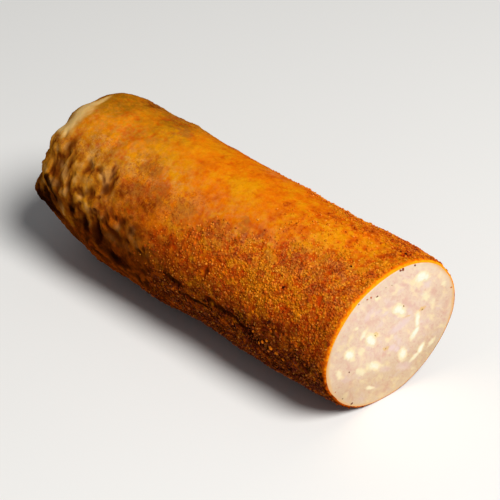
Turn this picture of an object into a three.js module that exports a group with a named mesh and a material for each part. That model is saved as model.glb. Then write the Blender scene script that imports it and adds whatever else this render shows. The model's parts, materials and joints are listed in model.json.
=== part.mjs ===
// A spice-crusted chicken sausage of 65 mm calibre, cooked in its casing and cut once across.
// Millimetres, +Z up. The sausage lies along X: the flat cut faces +X, the gathered end faces -X.
// The origin is on the table, under the middle of the sausage.

import * as THREE from 'three';

// Body
const CALIBRE = 65.4; // across the casing at the cut
const LENGTH = 177.3; // along the axis, from the far tip to the middle of the cut
const TAPER = 0.0158; // radius gained for each millimetre away from the cut
const REST_DEPTH = 0.8; // how far the soft underside is pressed flat

// Gathered end: a blunt dome whose tip sits a little high and to the front
const DOME_LENGTH = 24.3;
const DOME_LONG_POWER = 2.31; // 2 would be an ellipse, more is blunter
const DOME_ROUND_POWER = 2.35;
const TIP_SHIFT_Y = -1.5;
const TIP_SHIFT_Z = 3.5;
const TIP_SHIFT_REACH = 38.9; // along the axis, where the shift has died out
const PUCKER_DEPTH = 3.2; // the dimple where the casing is drawn together
const PUCKER_RADIUS = 7;
const PLEATS = 11;
const PLEAT_DEPTH = 0.9;
const PLEAT_REACH = 34; // along the axis, where the pleats have died out
const PLEAT_ONSET = 2.2; // how soon the pleats reach their depth, away from the tip
const PLEAT_WANDER = [
  { waves: 2, size: 0.9, start: 0.7 },
  { waves: 3, size: 0.6, start: 0 },
];

// The fold of casing that sags out of the gathered end at the front, and the hollow beside it
const SAG = { along: 3.9, around: 203, length: 4.7, width: 24.5, height: 8.2 };
const HOLLOW = { along: 18.3, around: 203, length: 13.6, width: 25, height: -6.7 };

// Cut: leans by a few degrees, with the casing's edge rounded over
const CUT_YAW = -7.2;
const CUT_PITCH = -3.4;
const CUT_BLEND = 40; // length of the body over which its rings turn to face the cut
const LIP_LENGTH = 0.9;
const LIP_INSET = 0.7;
const LIP_RISE = 0.25;
const LIP_RISE_LENGTH = 3;

// Wrinkles that run round the body near the gathered end: where each starts, how it slants
const WRINKLES = [
  { along: 22, around: 144, width: 18, slant: 0.04, depth: 1.1 },
  { along: 28, around: 146, width: 16, slant: 0.15, depth: 0.9 },
  { along: 35, around: 137, width: 13, slant: 0.33, depth: 1.0 },
  { along: 48.5, around: 135, width: 14, slant: 0.27, depth: 0.9 },
  { along: 50.5, around: 178, width: 12, slant: 0.3, depth: 1.2 },
];
const WRINKLE_LENGTH = 2.2;
const WRINKLE_RIDGE = 0.55; // height of the ridge beside a wrinkle, as a share of its depth

// Wrinkles on the other sides, drawn from a seeded rule within these bounds
const HIDDEN_WRINKLES = {
  count: 9,
  seed: 66,
  along: [19, 50],
  around: 250,
  turn: 97,
  turnWander: 20,
  width: [11, 20],
  slant: [-0.2, 0.3],
  depth: [0.6, 1.1],
};

// Creases that run along the body, low on the front and behind
const CREASES = [
  { along: 113, around: 181, length: 17, width: 4, depth: 1.1 },
  { along: 79, around: 184, length: 9, width: 4, depth: 0.8 },
  { along: 140, around: 232, length: 16, width: 4, depth: 0.8 },
  { along: 66, around: 318, length: 19, width: 4, depth: 0.9 },
  { along: 124, around: 14, length: 15, width: 4, depth: 0.8 },
];

// Broad lumps and a dent that show on the outline
const LUMPS = [
  { along: 144, around: 212, length: 12, width: 12, height: 1.5 },
  { along: 150, around: 50, length: 28, width: 25, height: 0.6 },
  { along: 32, around: 54, length: 7, width: 14, height: -1.3 },
];

// Long swells and small crags of the spice crust
const SWELLS = 3; // long waves on top of each other
const SWELL_HEIGHT = 0.28;
const SWELL_RATE = 0.052; // radians of the longest wave for each millimetre along
const SWELL_START_ALONG = 1.7;
const SWELL_START_ROUND = 2.1;
const CRAGS = 230;
const CRAG_SIZE = [3.4, 7.5];
const CRAG_HEIGHT = [-0.85, 0.8];
const CRAG_STRETCH = [0.8, 1.5]; // length along the body against the width round it
const CRAG_TURN = 137.508; // the golden angle, which spreads them evenly
const CRAG_TURN_WANDER = 20;
const CRAG_ONSET = 1.5; // how soon the crags reach their height, away from the tip
const CRAG_SEED = 530573;

// Mesh fineness
const SIDES = 64;
const OUTLINE_SAMPLES = 400;
const DOME_STEP = 2.3;
const SHOULDER_END = 56;
const BODY_STEP = 3.6;
const FACE_RINGS = [0.72, 0.4];

const SKIN_COLOUR = 0xb5560f;

const rad = THREE.MathUtils.degToRad;
const levelAngle = Math.atan(TAPER);
const radiusAt = (along) => CALIBRE / 2 + TAPER * (LENGTH - along);
const bell = (offset, spread) => Math.exp(-((offset / spread) ** 2));

// The shorter way round from one angle to another, in degrees
function turnBetween(from, to) {
  return ((((to - from) % 360) + 540) % 360) - 180;
}

function seededRandom(seed) {
  let state = seed;
  return () => {
    state = (state * 16807) % 2147483647;
    return state / 2147483647;
  };
}

// Soft mound or dent of a given length along the body and width round it
function mound(shape, along, around) {
  const acrossShare = bell(turnBetween(shape.around, around), shape.width);
  return shape.height * acrossShare * bell(along - shape.along, shape.length);
}

// Crags lie evenly round the body, with sizes and heights drawn from a seeded rule
function scatterCrags() {
  const random = seededRandom(CRAG_SEED);
  const crags = [];
  for (let i = 0; i < CRAGS; i += 1) {
    const size = THREE.MathUtils.lerp(...CRAG_SIZE, random() ** 2);
    crags.push({
      along: ((i + random()) / CRAGS) * LENGTH,
      around: i * CRAG_TURN + CRAG_TURN_WANDER * random(),
      length: size * THREE.MathUtils.lerp(...CRAG_STRETCH, random()),
      width: size / rad(CALIBRE / 2),
      height: THREE.MathUtils.lerp(...CRAG_HEIGHT, random()),
    });
  }
  return crags;
}

function hiddenWrinkles() {
  const { count, seed, along, around, turn, turnWander, width, slant, depth } = HIDDEN_WRINKLES;
  const random = seededRandom(seed);
  const wrinkles = [];
  for (let i = 0; i < count; i += 1) {
    wrinkles.push({
      along: THREE.MathUtils.lerp(...along, (i + random()) / count),
      around: (around + i * turn + turnWander * random()) % 360,
      width: THREE.MathUtils.lerp(...width, random()),
      slant: THREE.MathUtils.lerp(...slant, random()),
      depth: THREE.MathUtils.lerp(...depth, random()),
    });
  }
  return wrinkles;
}

const crags = scatterCrags();
const wrinkles = [...WRINKLES, ...hiddenWrinkles()];

function wrinkleRelief(along, around) {
  let relief = 0;
  for (const fold of wrinkles) {
    const turn = turnBetween(fold.around, around);
    const offset = along - fold.along - fold.slant * turn;
    const groove = -fold.depth * bell(offset, WRINKLE_LENGTH);
    const ridgeHeight = WRINKLE_RIDGE * fold.depth;
    const ridge = ridgeHeight * bell(offset - 2 * WRINKLE_LENGTH, WRINKLE_LENGTH);
    relief += (groove + ridge) * bell(turn, fold.width);
  }
  return relief;
}

function pleatRelief(along, around, share) {
  const fade = THREE.MathUtils.clamp(1 - along / PLEAT_REACH, 0, 1);
  let wander = 0;
  for (const { waves, size, start } of PLEAT_WANDER) {
    wander += size * Math.sin(rad(around) * waves + start);
  }
  const wave = Math.cos(rad(around) * PLEATS + wander);
  return PLEAT_DEPTH * wave * fade * Math.min(1, PLEAT_ONSET * share);
}

function creaseRelief(along, around) {
  let relief = 0;
  for (const crease of CREASES) {
    relief += mound({ ...crease, height: -crease.depth }, along, around);
  }
  return relief;
}

function swellRelief(along, around) {
  let relief = 0;
  for (let i = 1; i <= SWELLS; i += 1) {
    const lengthwise = Math.sin(along * SWELL_RATE * i + SWELL_START_ALONG * i);
    const crosswise = Math.cos(rad(around) * (i + 1) + SWELL_START_ROUND * i);
    relief += lengthwise * crosswise;
  }
  return SWELL_HEIGHT * relief;
}

function cragRelief(along, around) {
  let relief = 0;
  for (const crag of [...LUMPS, ...crags]) {
    relief += mound(crag, along, around);
  }
  return relief;
}

// Height of the skin over the smooth form, fading out where rings crowd at the tip
function relief(station, around) {
  const { along, share } = station;
  const cragShare = Math.min(1, CRAG_ONSET * share);
  const scatter = swellRelief(along, around) + cragRelief(along, around) * cragShare;
  const folds = wrinkleRelief(along, around) + pleatRelief(along, around, share);
  return scatter + folds + creaseRelief(along, around);
}

// A station is a place on the side outline: distance along the axis, share of the full radius
function domeStation(angle) {
  const share = Math.sin(angle) ** (2 / DOME_ROUND_POWER);
  const toShoulder = Math.cos(angle) ** (2 / DOME_LONG_POWER);
  return { along: DOME_LENGTH * (1 - toShoulder), share, toShoulder };
}

// Stations over the dome, even along its outline, without the tip itself
function domeStations() {
  const fine = [];
  let outlineLength = 0;
  for (let i = 0; i <= OUTLINE_SAMPLES; i += 1) {
    const station = domeStation((i / OUTLINE_SAMPLES) * (Math.PI / 2));
    if (i > 0) {
      const last = fine[i - 1];
      const rise = (station.share - last.share) * radiusAt(station.along);
      outlineLength += Math.hypot(station.along - last.along, rise);
    }
    fine.push({ ...station, outlineLength });
  }
  const count = Math.round(outlineLength / DOME_STEP);
  const stations = [];
  for (let i = 1; i <= count; i += 1) {
    const wanted = (outlineLength * i) / count;
    stations.push(fine.find((station) => station.outlineLength >= wanted - 1e-6));
  }
  return stations;
}

function straightStations(from, to, step) {
  const count = Math.round((to - from) / step);
  const stations = [];
  for (let i = 1; i <= count; i += 1) {
    stations.push({ along: from + ((to - from) * i) / count, share: 1, toShoulder: 0 });
  }
  return stations;
}

function allStations() {
  const lipStart = LENGTH - LIP_LENGTH;
  return [
    ...domeStations(),
    ...straightStations(DOME_LENGTH, SHOULDER_END, DOME_STEP),
    ...straightStations(SHOULDER_END, lipStart, BODY_STEP),
    { along: LENGTH, share: 1, toShoulder: 0 },
  ];
}

// Which way the smooth form faces at a station: how much to -X and how much outward
function facing(station) {
  const { share, toShoulder } = station;
  const back = (DOME_LONG_POWER * toShoulder ** (DOME_LONG_POWER - 1)) / DOME_LENGTH;
  const out = (DOME_ROUND_POWER * share ** (DOME_ROUND_POWER - 1)) / radiusAt(station.along);
  const size = Math.hypot(back, out);
  return { back: back / size, out: out / size };
}

// Edge of the casing at the cut: a small rise, then rounded in to the meat
function lipRelief(along) {
  const toCut = LENGTH - along;
  const rounding = toCut < LIP_LENGTH / 2 ? -LIP_INSET : 0;
  return rounding + LIP_RISE * bell(toCut - LIP_LENGTH, LIP_RISE_LENGTH);
}

// The cut plane, as the X of the point over a given Y and Z
const cutHeight = CALIBRE / 2 - REST_DEPTH;
function cutPlaneX(y, z) {
  return -Math.tan(rad(CUT_YAW)) * y - Math.tan(rad(CUT_PITCH)) * (z - cutHeight);
}

// Lay a point of the body down: level the underside, press it flat, face the cut
function layDown(axial, y, z, along) {
  const x = axial * Math.cos(levelAngle) + z * Math.sin(levelAngle);
  const height = z * Math.cos(levelAngle) - axial * Math.sin(levelAngle) + cutHeight;
  const pressed = Math.max(0, height);
  const turned = THREE.MathUtils.clamp((along - (LENGTH - CUT_BLEND)) / CUT_BLEND, 0, 1);
  const facingCut = cutPlaneX(y, pressed) - (LENGTH - along);
  return [THREE.MathUtils.lerp(x, facingCut, turned), y, pressed];
}

function skinPoint(station, around) {
  const { along, share } = station;
  const height = relief(station, around) + lipRelief(along);
  const { back, out } = facing(station);
  const sag = mound(SAG, along, around);
  const sagBack = THREE.MathUtils.clamp(1 - along / DOME_LENGTH, 0, 1);
  const sagOut = Math.sqrt(1 - sagBack ** 2);
  const radius = radiusAt(along) * share + out * height + sagOut * sag
    + mound(HOLLOW, along, around);
  const shift = THREE.MathUtils.clamp(1 - along / TIP_SHIFT_REACH, 0, 1) ** 2;
  const pucker = PUCKER_DEPTH * bell(radiusAt(along) * share, PUCKER_RADIUS);
  const axial = along - LENGTH - back * height - sagBack * sag + pucker;
  const y = radius * Math.cos(rad(around)) + TIP_SHIFT_Y * shift;
  const z = radius * Math.sin(rad(around)) + TIP_SHIFT_Z * shift;
  return layDown(axial, y, z, along);
}

const aroundAt = (side) => 270 + (360 * side) / SIDES;

function skinRing(station) {
  return Array.from({ length: SIDES }, (_, side) => skinPoint(station, aroundAt(side)));
}

// A ring of the cut face: the rim drawn in towards the middle, within the cut plane
function faceRing(rim, share) {
  return rim.map(([, y, z]) => {
    const height = cutHeight + (z - cutHeight) * share;
    return [cutPlaneX(y * share, height), y * share, height];
  });
}

// Rings between two end points become one closed surface
function closedSurface(startPoint, rings, endPoint) {
  const points = [startPoint, ...rings.flat(), endPoint];
  const last = points.length - 1;
  const index = (ring, side) => 1 + ring * SIDES + (side % SIDES);
  const faces = [];
  for (let side = 0; side < SIDES; side += 1) {
    faces.push(0, index(0, side + 1), index(0, side));
    faces.push(last, index(rings.length - 1, side), index(rings.length - 1, side + 1));
    for (let ring = 0; ring + 1 < rings.length; ring += 1) {
      const corner = index(ring, side);
      const next = index(ring, side + 1);
      const ahead = index(ring + 1, side);
      const opposite = index(ring + 1, side + 1);
      faces.push(corner, next, opposite, corner, opposite, ahead);
    }
  }
  const geometry = new THREE.BufferGeometry();
  geometry.setAttribute('position', new THREE.Float32BufferAttribute(points.flat(), 3));
  geometry.setIndex(faces);
  return geometry;
}

function sausageGeometry() {
  const tip = skinPoint(domeStation(0), 0);
  const skinRings = allStations().map(skinRing);
  const rim = skinRings[skinRings.length - 1];
  const faceRings = FACE_RINGS.map((share) => faceRing(rim, share));
  const middle = [cutPlaneX(0, cutHeight), 0, cutHeight];
  const geometry = closedSurface(tip, [...skinRings, ...faceRings], middle);
  geometry.computeBoundingBox();
  const centre = geometry.boundingBox.getCenter(new THREE.Vector3());
  geometry.translate(-centre.x, -centre.y, 0);
  geometry.computeVertexNormals();
  return geometry;
}

function sausage() {
  const material = new THREE.MeshStandardMaterial({
    color: SKIN_COLOUR,
    roughness: 0.62,
    metalness: 0,
    flatShading: true,
  });
  const mesh = new THREE.Mesh(sausageGeometry(), material);
  mesh.name = 'sausage';
  return mesh;
}

const part = new THREE.Group();
part.name = 'chicken_sausage';
part.add(sausage());

export default part;
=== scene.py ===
# %% [markdown]
# # A spice-crusted chicken sausage
# A thick cooked sausage lies on its side. Its casing is rubbed with ground paprika, curry and
# pepper, its far end is gathered into a wrinkled dome, and its near end is cut flat, so that the
# pink meat shows with its cream-white chunks. The solid of the whole sausage is made already, at
# its real size. This lesson takes that solid's form and gives it a real surface.

# %% Load the solid of the sausage
import json
import math

import bpy
import numpy as np
from mathutils import Matrix, Vector, noise

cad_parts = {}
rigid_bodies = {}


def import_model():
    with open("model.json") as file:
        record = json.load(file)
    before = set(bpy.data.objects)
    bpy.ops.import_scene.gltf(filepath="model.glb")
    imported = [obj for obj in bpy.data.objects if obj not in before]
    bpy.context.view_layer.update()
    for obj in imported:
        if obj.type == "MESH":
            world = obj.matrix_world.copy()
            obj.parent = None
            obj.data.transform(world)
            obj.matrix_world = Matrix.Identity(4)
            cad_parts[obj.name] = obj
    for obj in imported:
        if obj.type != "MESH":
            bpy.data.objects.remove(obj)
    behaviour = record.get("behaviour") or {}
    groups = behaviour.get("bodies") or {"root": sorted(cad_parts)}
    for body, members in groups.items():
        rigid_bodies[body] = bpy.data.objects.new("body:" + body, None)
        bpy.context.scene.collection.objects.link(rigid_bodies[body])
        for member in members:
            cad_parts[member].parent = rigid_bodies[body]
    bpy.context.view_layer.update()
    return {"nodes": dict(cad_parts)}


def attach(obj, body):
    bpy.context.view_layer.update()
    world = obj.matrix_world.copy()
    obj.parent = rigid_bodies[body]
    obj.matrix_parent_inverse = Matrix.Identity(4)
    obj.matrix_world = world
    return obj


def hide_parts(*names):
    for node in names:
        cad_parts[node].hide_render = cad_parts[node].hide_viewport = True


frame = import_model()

MM = 0.001
solid = frame["nodes"]["sausage"]
print("solid faces:", len(solid.data.polygons))

# %% [markdown]
# ## Where the cut is
# Nearly everything is placed from the cut face: the camera looks at it, the spices are measured
# from it and the meat lies in it. It can be read from the solid, because its faces are the only
# ones that look almost straight along +X.

# %% Measure the cut face
CUT_FACING = 0.97
cut_faces = [face for face in solid.data.polygons if face.normal.x > CUT_FACING]
cut_area = sum(face.area for face in cut_faces)
cut_centre = sum((face.center * face.area for face in cut_faces), Vector()) / cut_area
cut_normal = sum((face.normal * face.area for face in cut_faces), Vector()).normalized()
cut_across = Vector((0, 0, 1)).cross(cut_normal).normalized()
cut_up = cut_normal.cross(cut_across)
cut_radius = math.sqrt(cut_area / math.pi)
print("cut centre mm:", [round(v / MM, 1) for v in cut_centre], "radius", round(cut_radius / MM, 1))

# %% [markdown]
# ## Camera
# The photo looks down on the sausage from the cut end and the front, through a long lens. The
# place is given as a photographer would say it: how far the cut lies to the right of the middle
# of the picture, below it and away from the lens, and how the camera is turned.

# %% Place the camera
CAMERA_AZIMUTH = math.radians(44.74)
CAMERA_ELEVATION = math.radians(35.87)
CAMERA_ROLL = math.radians(-0.80)
FIELD_OF_VIEW = math.radians(16)
CUT_SEEN_FROM_CAMERA = Vector((53.8, -32.5, -675.2)) * MM

turn = Matrix.Rotation(CAMERA_AZIMUTH, 3, "Z")
turn = turn @ Matrix.Rotation(math.pi / 2 - CAMERA_ELEVATION, 3, "X")
turn = turn @ Matrix.Rotation(CAMERA_ROLL, 3, "Z")
place = cut_centre - turn @ CUT_SEEN_FROM_CAMERA
bpy.ops.object.camera_add(location=place, rotation=turn.to_euler())
camera = bpy.context.active_object
camera.data.angle = FIELD_OF_VIEW
bpy.context.scene.camera = camera
print("camera at:", [round(v, 3) for v in place])

# %% [markdown]
# ## Helpers
# An operator acts on all that is selected, so each step first selects one piece alone. Colours
# are written as they look on a screen, 0 to 255, and turned into the linear light that a shader
# works in.

# %% Define the helpers
def only(piece):
    """Deselect everything, then select one piece and make it the active one."""
    if bpy.context.object and bpy.context.object.mode != "OBJECT":
        bpy.ops.object.mode_set(mode="OBJECT")
    bpy.ops.object.select_all(action="DESELECT")
    piece.hide_set(False)
    piece.select_set(True)
    bpy.context.view_layer.objects.active = piece


def apply_modifier(piece, kind, **settings):
    """Add a modifier, set it up and apply it at once."""
    only(piece)
    modifier = piece.modifiers.new(kind.lower(), kind)
    for name, value in settings.items():
        setattr(modifier, name, value)
    bpy.ops.object.modifier_apply(modifier=modifier.name)


def screen(red, green, blue):
    """A colour as seen on a screen, as linear light."""
    shares = [value / 255 for value in (red, green, blue)]
    linear = []
    for share in shares:
        linear.append(share / 12.92 if share < 0.04045 else ((share + 0.055) / 1.055) ** 2.4)
    return linear + [1]


def new_piece(name, points, edges=(), faces=()):
    """A piece with a mesh of its own, from points and the edges or faces between them."""
    mesh = bpy.data.meshes.new(name)
    mesh.from_pydata(points, edges, faces)
    piece = bpy.data.objects.new(name, mesh)
    bpy.context.scene.collection.objects.link(piece)
    return piece


def points_of(piece):
    points = np.empty(len(piece.data.vertices) * 3)
    piece.data.vertices.foreach_get("co", points)
    return points.reshape(-1, 3)


def normals_of(piece):
    normals = np.empty(len(piece.data.vertices) * 3)
    piece.data.vertices.foreach_get("normal", normals)
    return normals.reshape(-1, 3)


def note(piece, name, values):
    """Write one number for each vertex on the piece, for its material to read."""
    attribute = piece.data.attributes.new(name, "FLOAT", "POINT")
    attribute.data.foreach_set("value", np.asarray(values, np.float32))


def smooth_step(values, low, high):
    share = np.clip((values - low) / (high - low), 0, 1)
    return share * share * (3 - 2 * share)


# %% [markdown]
# ## Places on the body
# A spot on the crust is named by how far it is from the cut, in millimetres along the body, and
# how far round it is: 0 degrees is behind, 90 on top, 180 in front, 270 underneath. The body is a
# little thicker towards the far end, so its axis rises slowly from the cut.

# %% Turn points into places on the body
AXIS_RISE = 0.0158
NOISE_SEED = 7
noise.seed_set(NOISE_SEED)


def places_on_body(points):
    """Millimetres from the cut, degrees round the body, and millimetres out from the axis."""
    back = cut_centre.x - points[:, 0]
    up = points[:, 2] - (cut_centre.z + AXIS_RISE * back)
    around = np.degrees(np.arctan2(up, points[:, 1])) % 360
    return back / MM, around, np.hypot(points[:, 1], up) / MM


def noise_at(points, size):
    """Smooth noise with features of that size: three numbers from -1 to 1 for each point."""
    return np.array([noise.noise_vector(Vector(point) / size) for point in points])


def soft_spots(spots, from_cut, around, wander):
    """How deep each place lies in any of the spots, from 0 to 1.
    A spot is its place along, its place round, its half length and its half width in mm.
    Wander moves each place by a few millimetres, so that the spots' outlines are uneven."""
    share = np.zeros(len(from_cut))
    for along, turned, length, width in spots:
        aside = np.radians((around - turned + 180) % 360 - 180) * cut_radius / MM + wander[:, 1]
        far = from_cut - along + wander[:, 0]
        share = np.maximum(share, np.exp(-((far / length) ** 2) - (aside / width) ** 2))
    return share


# %% [markdown]
# ## The crust's form
# The crust is the sausage's whole outside. Modelling it anew would lose the dents, wrinkles and
# pleats that the solid has, so a copy of the solid is the start: its loose triangles are merged
# and paired into squares, the cut face is taken out, and the casing's edge is extruded inwards
# and back, which leaves a shallow seat for the meat. Subdivision then makes it fine and round.

# %% Shape the crust
CASING = 0.7 * MM
MEAT_SEAT = 3.0 * MM
MERGE_DISTANCE = 0.005 * MM

crust = bpy.data.objects.new("spice_crust", solid.data.copy())
crust.data.materials.clear()
bpy.context.scene.collection.objects.link(crust)
only(crust)
bpy.ops.object.mode_set(mode="EDIT")
bpy.ops.mesh.select_all(action="SELECT")
bpy.ops.mesh.remove_doubles(threshold=MERGE_DISTANCE)
pairing = {"face_threshold": math.radians(60), "shape_threshold": math.radians(70)}
bpy.ops.mesh.tris_convert_to_quads(**pairing)
bpy.ops.mesh.select_all(action="DESELECT")
bpy.ops.object.mode_set(mode="OBJECT")
for face in crust.data.polygons:
    face.select = face.normal.x > CUT_FACING
bpy.ops.object.mode_set(mode="EDIT")
bpy.ops.mesh.region_to_loop()
bpy.ops.object.mode_set(mode="OBJECT")
rim = [Vector(vertex.co) for vertex in crust.data.vertices if vertex.select]
print("crust squares and triangles:", len(crust.data.polygons), "rim points:", len(rim))

# %% [markdown]
# The rim is a loop of edges now. Its cut faces go, and the loop is extruded twice: once towards
# the middle by the casing's thickness, and once back along the body. Extruding makes its faces in
# an order that changes from run to run, and the grains are drawn by the faces' order later. So
# the new faces and edges are sorted by their distance from the origin, and every edge runs from
# its lower point to its higher one, by number. That gives the same mesh and grains each run.

# %% Turn the casing in at the cut
for face in crust.data.polygons:
    face.select = face.normal.x > CUT_FACING
bpy.ops.object.mode_set(mode="EDIT")
bpy.ops.mesh.select_mode(type="FACE")
bpy.ops.mesh.delete(type="FACE")
bpy.ops.mesh.select_mode(type="EDGE")
bpy.ops.mesh.select_non_manifold()
bpy.ops.mesh.extrude_edges_move()
inner_share = 1 - CASING / cut_radius
bpy.ops.transform.resize(value=(inner_share,) * 3, center_override=cut_centre)
bpy.ops.mesh.extrude_edges_move()
bpy.ops.transform.translate(value=-cut_normal * MEAT_SEAT)
bpy.ops.mesh.edge_face_add()
bpy.ops.mesh.poke()
bpy.ops.mesh.select_more()
bpy.ops.mesh.select_more()
bpy.ops.mesh.sort_elements(type="CURSOR_DISTANCE", elements={"EDGE", "FACE"})
bpy.ops.mesh.select_all(action="SELECT")
bpy.ops.mesh.normals_make_consistent(inside=False)
bpy.ops.object.mode_set(mode="OBJECT")
for edge in crust.data.edges:
    edge.vertices = sorted(edge.vertices)
apply_modifier(crust, "SUBSURF", levels=2, render_levels=2)
print("crust faces:", len(crust.data.polygons))

# %% [markdown]
# ## Regions of the crust
# The rub isn't even, and all that lies on the body has to agree on where it changes: the form,
# the material and the loose grains. So each region is worked out by one function from a place on
# the body. Spots are given as place along, place round, half length and half width.

# %% Say where the crust changes
# Golden spots are yellow patches in the rub. The one at 152 mm and 184 degrees is painted light, where the
# lower front of the far end is lit.
GOLDEN_SPOTS = [
    (25, 100, 10, 6), (37, 110, 5, 3), (43, 110, 4, 3), (43, 169, 5, 4), (46, 151, 5, 4), (2, 104, 3, 9),
    (18, 112, 4, 3), (30, 134, 5, 3), (64, 179, 6, 2.5), (125, 89, 9, 5), (128, 123, 4, 3),
    (134, 168, 4, 3), (142, 124, 5, 4), (102, 117, 6, 4), (75, 95, 9, 4), (54, 142, 7, 3),
    (40, 135, 4, 3), (37, 150, 7, 4), (42, 163, 6, 3), (120, 86, 8, 3), (126, 121, 6, 4),
    (112, 104, 10, 4), (137, 162, 6, 5), (152, 184, 5, 5), (11, 121, 5, 4), (60, 35, 12, 7),
    (118, 20, 11, 8), (30, 330, 9, 6), (90, 300, 12, 8),
]
RED_SPOTS = [
    (60, 136, 6, 4), (64, 139, 5, 4), (51, 120, 5, 3), (19, 127, 6, 4), (25, 123, 4, 3), (11, 138, 6, 6),
    (9, 153, 6, 5), (17, 170, 6, 5), (72, 161, 6, 4), (133, 99, 7, 4), (116, 133, 8, 3),
    (122, 158, 12, 5), (112, 150, 9, 5), (106, 125, 6, 3), (90, 160, 10, 5), (6, 68, 4, 9),
    (85, 40, 10, 6), (20, 15, 9, 8), (140, 350, 9, 8),
]
SMUDGES = [
    (90, 133, 10, 5), (64, 139, 5, 4), (12, 137, 4, 3), (33, 115, 4, 3), (34, 128, 5, 3), (22, 115, 5, 4),
    (22, 124, 5, 3), (69, 131, 6, 5), (60, 121, 6, 3), (116, 117, 9, 5), (103, 131, 8, 4),
    (114, 138, 8, 4), (118, 118, 5, 4), (112, 120, 5, 3), (120, 76, 5, 5), (124, 74, 4, 4),
    (133, 62, 6, 5), (70, 350, 8, 6), (105, 50, 8, 5),
]
BROWN_SPOTS = [
    (157, 156, 5, 7), (10, 153, 6, 5), (104, 158, 9, 5), (120, 161, 8, 5), (128, 146, 4, 4),
    (106, 141, 6, 4), (120, 141, 6, 4), (148, 60, 5, 5), (60, 20, 8, 4), (125, 345, 7, 6),
]
PALE_SPOTS = [
    (124, 118, 5, 3), (60, 128, 4, 2), (143, 122, 5, 4), (151, 132, 3, 3), (165, 125, 5, 6),
    (173, 172, 3, 3), (18, 112, 5, 3), (102, 117, 6, 3), (76, 60, 6, 4), (110, 28, 7, 4),
]
BARE_CASING = [(163, 110, 5, 10), (162, 121, 4, 5), (167, 123, 3, 4), (162, 94, 2.5, 8)]
# Spots of painted shade, under the far end's overhanging lobe and low on the flanks.
PAINTED_SHADE_SPOTS = [
    (38, 191, 7, 3), (44, 188, 4, 2.5), (166, 181, 4.5, 8), (171, 197, 8, 9), (161, 165, 3, 3.5),
    (158, 173, 2.5, 5), (163, 187, 3, 4), (145, 172, 2, 3), (128, 178, 3, 5), (135, 177, 2.5, 4),
    (118, 190, 6, 3), (164, 340, 5, 9), (140, 350, 5, 4),
]


def below_top(around):
    """Degrees down from the top, on either side."""
    return np.abs((around - 90 + 180) % 360 - 180)


def regions(points):
    """How much of each finish there is at each point, mostly from 0 to 1.
    Limits are millimetres from the cut or degrees below the top, and noise makes them wander."""
    from_cut, around, _ = places_on_body(points)
    drift = noise_at(points, 12 * MM)[:, 0]
    wander = noise_at(points, 5 * MM) * 4
    low = below_top(around)
    behind = (90 - around + 180) % 360 - 180
    # The share named low is painted shade: the rub darkens from 42 to 118 degrees below the top, less under
    # golden spots, and the brown spots raise it where they lie.
    flank = smooth_step(low + 8 * drift, 42, 118) * (1 - 0.4 * smooth_step(from_cut + 22 * drift, 135, 165))
    wavy_low = low + 20 * drift
    wavy_back = from_cut + 20 * drift
    gritty_top = 0.1 + 0.28 * (1 - smooth_step(wavy_back, 30, 60))
    gritty_from = np.interp(from_cut, (0, 25, 60, 95, 120), (0, 12, 26, 48, 66))
    gritty = gritty_top + (1 - gritty_top) * smooth_step(wavy_low, gritty_from, gritty_from + 15)
    gritty *= 1 - 0.3 * smooth_step(wavy_back, 30, 75) - 0.7 * smooth_step(wavy_back, 80, 114)
    near_rim = 1 - smooth_step(from_cut + 6 * drift, 4, 18)
    golden = soft_spots(GOLDEN_SPOTS, from_cut, around, wander)
    brown = 0.5 * soft_spots(BROWN_SPOTS, from_cut, around, wander * 0.8)
    olive = smooth_step(behind + 12 * drift + 36 * smooth_step(from_cut, 138, 168), -10, 28)
    olive *= smooth_step(wavy_back, 100, 150) * (1 - 0.6 * golden)
    # The far lower flank is darker: partly darker crust and partly painted shade.
    dark_crust_and_shade = smooth_step(wavy_back, 80, 106) * smooth_step(wavy_low, 58, 82)
    # A pale band along each upper flank is painted sheen, and the pale spots add pale patches to it.
    sheen_width = 19 + 9 * smooth_step(wavy_back, 80, 140)
    painted_sheen = np.exp(-((np.abs(behind - 13) - 47) / sheen_width) ** 2)
    return {
        "golden": golden,
        "red": soft_spots(RED_SPOTS, from_cut, around, wander),
        "smudge": soft_spots(SMUDGES, from_cut, around, wander),
        "bare": soft_spots(BARE_CASING, from_cut, around, wander * 0.5),
        "shade_spots": soft_spots(PAINTED_SHADE_SPOTS, from_cut, around, wander * 0.8),
        "low": np.maximum(flank * (1 - 0.45 * golden), brown),
        "dull": smooth_step(wavy_back, 80, 140),
        "olive": olive,
        "dark_crust_and_shade": dark_crust_and_shade * (1 - 0.6 * smooth_step(wavy_back, 138, 158)),
        "painted_sheen": painted_sheen + 1.5 * soft_spots(PALE_SPOTS, from_cut, around, wander),
        "flank": smooth_step(wavy_back, 75, 105) * smooth_step(wavy_low, 18, 36),
        "grit": np.maximum(gritty, 0.8 * near_rim),
        "edge": -(points - np.array(cut_centre)) @ np.array(cut_normal) / MM,
    }


before = points_of(crust)
facing = normals_of(crust)
from_cut, around, radius = places_on_body(before)
crust_regions = regions(before)
print("gritty share:", round(float((crust_regions["grit"] > 0.5).mean()), 2))

# %% [markdown]
# ## The crust's relief
# The far end shrank as it cooked, and its casing drew up in bumps of a few millimetres with
# furrows and deep dents between them. Everywhere the ground spice sticks in clumps, with grit on
# top. The furrows, dents and bumps are worked out for each vertex, and Displace modifiers push
# them in and out. The clumps and the grit come from cloud textures of their sizes.

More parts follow.
